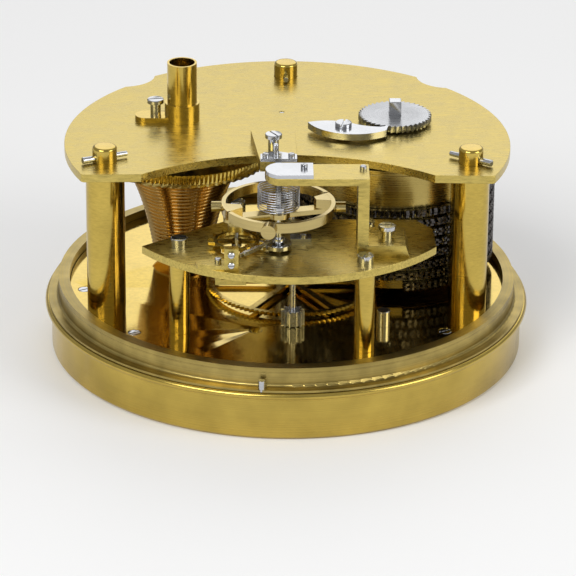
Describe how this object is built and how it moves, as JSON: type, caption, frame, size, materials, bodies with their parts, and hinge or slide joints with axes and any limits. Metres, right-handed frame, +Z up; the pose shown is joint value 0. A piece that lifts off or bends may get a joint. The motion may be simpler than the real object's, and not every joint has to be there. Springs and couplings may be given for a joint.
{
  "type": "marine chronometer movement",
  "caption": "Marine chronometer movement with fusee and chain, spring detent escapement, cut balance with helical spring, dial and glazed bezel, standing dial-down.",
  "frame": {"origin": "middle of the bezel's underside, on which the movement stands dial-down", "axes": "+Z up, away from the dial; -Y to the front, where the balance is; +X to the right, where the barrel is"},
  "size_m": [0.12, 0.12, 0.0682],
  "materials": {
    "plate_brass": "straight-grained, lacquered",
    "polished_brass": "turned and polished",
    "aged_brass": "turned, darkened with age",
    "fusee_brass": "copper-coloured, sharp grooves",
    "bright_steel": "polished",
    "dark_steel": "dark, oiled",
    "blued_steel": "blued",
    "silvered": "silvered",
    "clear_glass": "clear",
    "ruby": "polished",
    "balance_brass": "polished"
  },
  "bodies": {
    "frame": {"brass_edge": "aged_brass", "pillar_plate": "polished_brass", "edge_screws": "bright_steel", "stop_post": "bright_steel", "large_pillars": "polished_brass", "frame_pins": "bright_steel", "top_plate": "plate_brass", "lower_plate": "plate_brass", "small_pillars": "polished_brass", "winding_tube": "polished_brass", "chain_run": "dark_steel", "escape_cock": "polished_brass", "escape_under_cock": "polished_brass", "detent_bracket": "polished_brass", "balance_spring": "blued_steel", "balance_jewels": "ruby", "balance_cock": "plate_brass", "end_plates": "bright_steel", "stud_bracket": "plate_brass", "stud_clamp": "bright_steel", "spring_stud": "bright_steel", "steel_screws": "bright_steel", "motion_studs": "bright_steel", "dial": "silvered"},
    "seconds": {"fourth_arbor": "bright_steel", "fourth_wheel": "polished_brass", "seconds_hand": "blued_steel"},
    "third": {"third_arbor": "bright_steel", "third_wheel": "polished_brass"},
    "centre": {"centre_arbor": "bright_steel", "centre_wheel": "polished_brass"},
    "great": {"great_wheel": "polished_brass", "maintaining_ratchet": "bright_steel"},
    "fusee_cone": {"fusee": "fusee_brass", "fusee_arbor": "bright_steel"},
    "escapement": {"escape_arbor": "bright_steel", "escape_wheel": "polished_brass"},
    "balance": {"balance_rim": "balance_brass", "balance_staff": "bright_steel", "balance_weights": "balance_brass"},
    "locking": {"detent": "bright_steel"},
    "set_up": {"barrel_arbor": "bright_steel", "ratchet_wheel": "bright_steel", "mainspring": "blued_steel"},
    "going_barrel": {"barrel": "aged_brass", "barrel_cover": "aged_brass", "chain_coils": "dark_steel"},
    "set_up_click": {"click": "bright_steel"},
    "minutes": {"cannon_pipe": "polished_brass", "minute_hand": "blued_steel"},
    "motion_carrier": {"motion_idler": "polished_brass"},
    "minute_work": {"minute_wheel": "polished_brass"},
    "hours": {"hour_wheel": "polished_brass", "hour_hand": "blued_steel"},
    "reserve_carrier": {"reserve_idler": "polished_brass"},
    "reserve": {"reserve_wheel": "polished_brass", "reserve_hand": "blued_steel"},
    "bezel_ring": {"bezel": "polished_brass", "bezel_glass": "clear_glass"}
  },
  "joints": [
    {"name": "seconds_turn", "type": "hinge", "parent": "frame", "child": "seconds", "pos_m": [0.00129, -0.027, 0], "axis": [0, 0, 1], "continuous": true},
    {"name": "third_turn", "type": "hinge", "parent": "frame", "child": "third", "pos_m": [0.00129, -0.00361, 0], "axis": [0, 0, 1], "continuous": true},
    {"name": "centre_turn", "type": "hinge", "parent": "frame", "child": "centre", "pos_m": [-0.00121, 0.01885, 0], "axis": [0, 0, 1], "continuous": true},
    {"name": "great_turn", "type": "hinge", "parent": "frame", "child": "great", "pos_m": [-0.026, 0.0136, 0], "axis": [0, 0, 1], "continuous": true},
    {"name": "escape_turn", "type": "hinge", "parent": "frame", "child": "escapement", "pos_m": [-0.0123, -0.0316, 0], "axis": [0, 0, 1], "continuous": true},
    {"name": "fusee_winding", "type": "hinge", "parent": "great", "child": "fusee_cone", "pos_m": [-0.026, 0.0136, 0], "axis": [0, 0, 1], "range_deg": [0, 8280]},
    {"name": "barrel_turn", "type": "hinge", "parent": "frame", "child": "going_barrel", "pos_m": [0.0268, 0.0123, 0], "axis": [0, 0, 1], "range_deg": [0, 3240]},
    {"name": "set_up_turn", "type": "hinge", "parent": "frame", "child": "set_up", "pos_m": [0.0268, 0.0123, 0], "axis": [0, 0, 1], "range_deg": [0, 2.5]},
    {"name": "click_swing", "type": "hinge", "parent": "frame", "child": "set_up_click", "pos_m": [0.0138, 0.0034, 0], "axis": [0, 0, -1], "range_deg": [0, 10]},
    {"name": "balance_swing", "type": "hinge", "parent": "frame", "child": "balance", "pos_m": [-0.0024, -0.0336, 0], "axis": [0, 0, 1], "range_deg": [-225, 225], "stiffness_Nm_per_rad": 0.0001},
    {"name": "detent_swing", "type": "hinge", "parent": "frame", "child": "locking", "pos_m": [-0.0115, -0.0439, 0], "axis": [0, 0, -1], "range_deg": [0, 2.5], "stiffness_Nm_per_rad": 0.0005},
    {"name": "minute_turn", "type": "hinge", "parent": "frame", "child": "minutes", "pos_m": [0, 0, 0], "axis": [0, 0, 1], "continuous": true},
    {"name": "motion_idler_turn", "type": "hinge", "parent": "frame", "child": "motion_carrier", "pos_m": [-0.0006, 0.00942, 0], "axis": [0, 0, 1], "continuous": true},
    {"name": "minute_wheel_turn", "type": "hinge", "parent": "frame", "child": "minute_work", "pos_m": [0.0084, 0, 0], "axis": [0, 0, 1], "continuous": true},
    {"name": "hour_turn", "type": "hinge", "parent": "frame", "child": "hours", "pos_m": [0, 0, 0], "axis": [0, 0, 1], "continuous": true},
    {"name": "reserve_idler_turn", "type": "hinge", "parent": "frame", "child": "reserve_carrier", "pos_m": [-0.016, 0.02346, 0], "axis": [0, 0, 1], "range_deg": [-1505.45, 0]},
    {"name": "reserve_turn", "type": "hinge", "parent": "frame", "child": "reserve", "pos_m": [-0.0013, 0.027, 0], "axis": [0, 0, 1], "range_deg": [0, 301.09]},
    {"name": "bezel_lift_off", "type": "slide", "parent": "frame", "child": "bezel_ring", "axis": [0, 0, 1], "range_m": [-0.03, 0]}
  ],
  "couplings": [
    {"joint": "third_turn", "follows": "seconds_turn", "ratio": -0.125},
    {"joint": "centre_turn", "follows": "seconds_turn", "ratio": 0.016667},
    {"joint": "great_turn", "follows": "seconds_turn", "ratio": -0.0020833},
    {"joint": "escape_turn", "follows": "seconds_turn", "ratio": -8},
    {"joint": "minute_turn", "follows": "seconds_turn", "ratio": 0.016667},
    {"joint": "motion_idler_turn", "follows": "seconds_turn", "ratio": -0.016667},
    {"joint": "minute_wheel_turn", "follows": "seconds_turn", "ratio": -0.0055556},
    {"joint": "hour_turn", "follows": "seconds_turn", "ratio": 0.0013889},
    {"joint": "barrel_turn", "follows": "fusee_winding", "ratio": 0.3913},
    {"joint": "reserve_idler_turn", "follows": "fusee_winding", "ratio": -0.18182},
    {"joint": "reserve_turn", "follows": "fusee_winding", "ratio": 0.036364}
  ]
}
